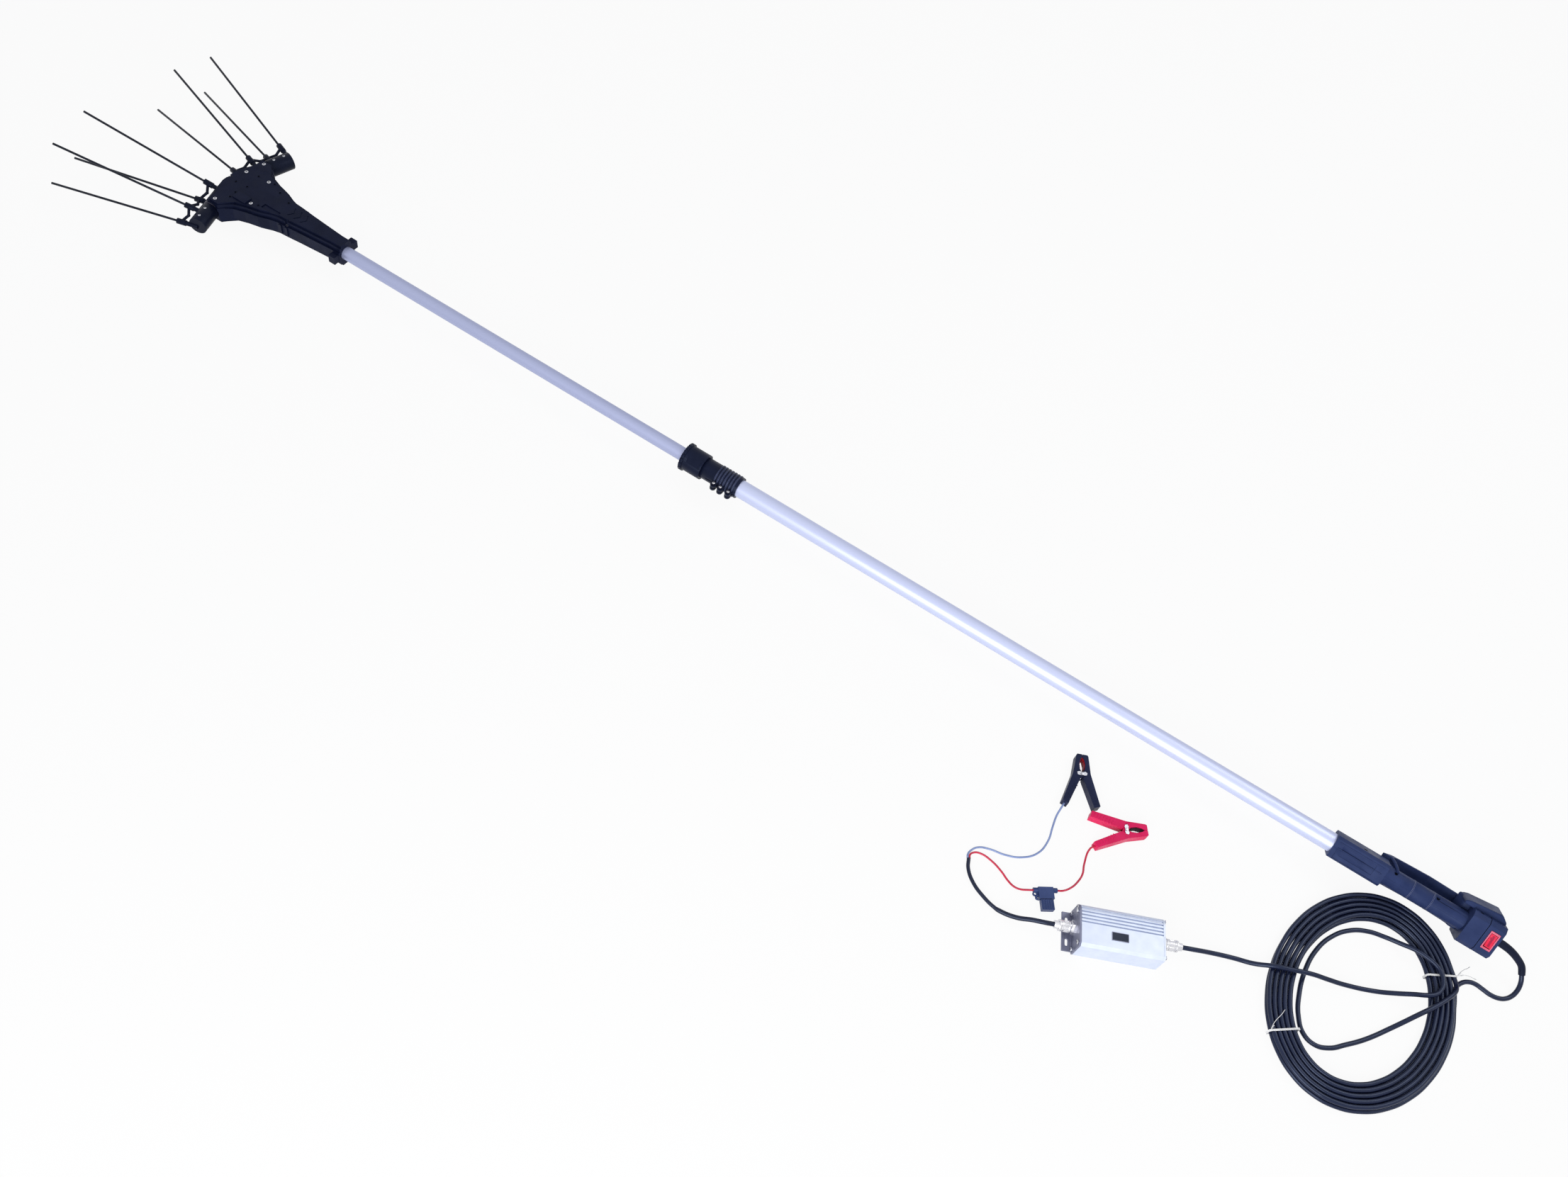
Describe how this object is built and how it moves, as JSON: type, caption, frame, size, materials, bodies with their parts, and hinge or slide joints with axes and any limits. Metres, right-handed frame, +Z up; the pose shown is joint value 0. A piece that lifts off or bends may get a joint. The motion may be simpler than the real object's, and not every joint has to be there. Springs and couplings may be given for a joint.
{
  "type": "electric olive harvester",
  "caption": "Long telescopic pole with twin vibrating tine combs, guarded trigger handle, coiled supply cord, finned control box and battery clips.",
  "frame": {"origin": "centre of the round hand grip on the pole axis", "axes": "+X along the pole to the combs, +Y to the left of it, +Z up; the floor it lies on is 48 mm below the axis"},
  "size_m": [2.9088, 0.6037, 0.1191],
  "materials": {
    "outer_tube": "satin anodised",
    "inner_tube": "satin anodised",
    "clamp_plastic": "fine texture",
    "pale_plastic": "smooth",
    "handle_plastic": "fine texture",
    "trigger_plastic": "smooth",
    "black_plastic": "smooth",
    "bezel": "clear red",
    "rocker": "glossy",
    "head_plastic": "satin",
    "comb_plastic": "satin",
    "carbon": "carbon fibre",
    "steel": "bright",
    "dark_screw": "dull",
    "motor": "satin",
    "bronze": "sintered",
    "cord": "glossy",
    "tie": "smooth",
    "box_aluminium": "satin",
    "plate_grey": "satin",
    "board": "solder mask",
    "label": "blank",
    "nickel": "nickel plate",
    "grey_wire": "smooth",
    "red_wire": "smooth",
    "fuse_plastic": "smooth",
    "fuse_amber": "clear",
    "clip_black": "glossy",
    "clip_red": "glossy"
  },
  "bodies": {
    "handle_and_pole": {"outer_tube": "outer_tube", "clamp_sleeve": "clamp_plastic", "clamp_collet": "pale_plastic", "clamp_screws": "steel", "handle_upper_shell": "handle_plastic", "handle_lower_shell": "handle_plastic", "finger_guard": "handle_plastic", "handle_end_cap": "handle_plastic", "handle_screws": "dark_screw", "trigger_switch": "black_plastic", "switch_body": "black_plastic", "switch_bezel": "bezel", "cord_boot": "cord", "handle_cord": "cord", "cord_coil": "cord", "box_cord": "cord", "right_tie": "tie", "left_tie": "tie", "box_extrusion": "box_aluminium", "box_left_plate": "plate_grey", "box_right_plate": "plate_grey", "box_screws": "steel", "circuit_board": "board", "label_plate": "label", "battery_connector": "nickel", "pole_connector": "nickel", "battery_sheath": "cord", "grey_wire": "grey_wire", "red_wire_long": "red_wire", "red_wire_short": "red_wire", "fuse_holder": "fuse_plastic", "blade_fuse": "fuse_amber", "black_clip_fixed": "clip_black", "black_clip_pivot": "steel", "red_clip_fixed": "clip_red", "red_clip_pivot": "steel"},
    "inner_pole": {"inner_tube": "inner_tube", "guide_bush": "pale_plastic", "head_upper_shell": "head_plastic", "head_lower_shell": "head_plastic", "head_screws": "steel", "motor": "motor", "gearbox": "motor", "crank_bearing": "steel", "comb_bushes": "bronze"},
    "locking_collar": {"lock_collar": "clamp_plastic"},
    "comb_left": {"left_comb": "comb_plastic", "left_tines": "carbon", "left_shaft": "steel"},
    "comb_right": {"right_comb": "comb_plastic", "right_tines": "carbon", "right_shaft": "steel"},
    "crankshaft": {"crank": "steel"},
    "trigger_piece": {"trigger": "trigger_plastic"},
    "rocker_piece": {"rocker": "rocker"},
    "fuse_cover": {"fuse_cap": "fuse_plastic"},
    "black_moving_jaw": {"black_clip_jaw": "clip_black"},
    "red_moving_jaw": {"red_clip_jaw": "clip_red"}
  },
  "joints": [
    {"name": "pole_slide", "type": "slide", "parent": "handle_and_pole", "child": "inner_pole", "axis": [1, 0, 0], "range_m": [-0.7, 0.04]},
    {"name": "collar_twist", "type": "hinge", "parent": "handle_and_pole", "child": "locking_collar", "pos_m": [1.38, 0, 0], "axis": [1, 0, 0], "range_deg": [-60, 60]},
    {"name": "comb_left_swing", "type": "hinge", "parent": "inner_pole", "child": "comb_left", "pos_m": [2.441, 0, 0], "axis": [0.2756, -0.9613, 0], "range_deg": [-8, 4]},
    {"name": "comb_right_swing", "type": "hinge", "parent": "inner_pole", "child": "comb_right", "pos_m": [2.441, 0, 0], "axis": [-0.2756, -0.9613, 0], "range_deg": [-4, 8]},
    {"name": "crank_turn", "type": "hinge", "parent": "inner_pole", "child": "crankshaft", "pos_m": [2.381, 0, 0], "axis": [-1, 0, 0], "range_deg": [-80, 40]},
    {"name": "trigger_pull", "type": "slide", "parent": "handle_and_pole", "child": "trigger_piece", "axis": [0, 0.7431, 0.6691], "range_m": [0, 0.005], "stiffness_N_per_m": 600, "springref_m": -0.004},
    {"name": "rocker_tip", "type": "hinge", "parent": "handle_and_pole", "child": "rocker_piece", "pos_m": [-0.109, 0.01665, 0.01499], "axis": [-1, 0, 0], "range_deg": [0, 16]},
    {"name": "fuse_cap_pull", "type": "slide", "parent": "handle_and_pole", "child": "fuse_cover", "axis": [-0.5548, 0.832, 0], "range_m": [0, 0.03]},
    {"name": "black_clip_open", "type": "hinge", "parent": "handle_and_pole", "child": "black_moving_jaw", "pos_m": [0.543, 0.115, -0.04], "axis": [0, 0, -1], "range_deg": [0, 22], "stiffness_Nm_per_rad": 1.2, "springref_deg": -17.19},
    {"name": "red_clip_open", "type": "hinge", "parent": "handle_and_pole", "child": "red_moving_jaw", "pos_m": [0.442, 0.161, -0.04], "axis": [0, 0, 1], "range_deg": [0, 22], "stiffness_Nm_per_rad": 1.2, "springref_deg": -17.19}
  ],
  "couplings": [
    {"joint": "comb_right_swing", "follows": "comb_left_swing", "ratio": -1},
    {"joint": "crank_turn", "follows": "comb_left_swing", "ratio": 10}
  ]
}
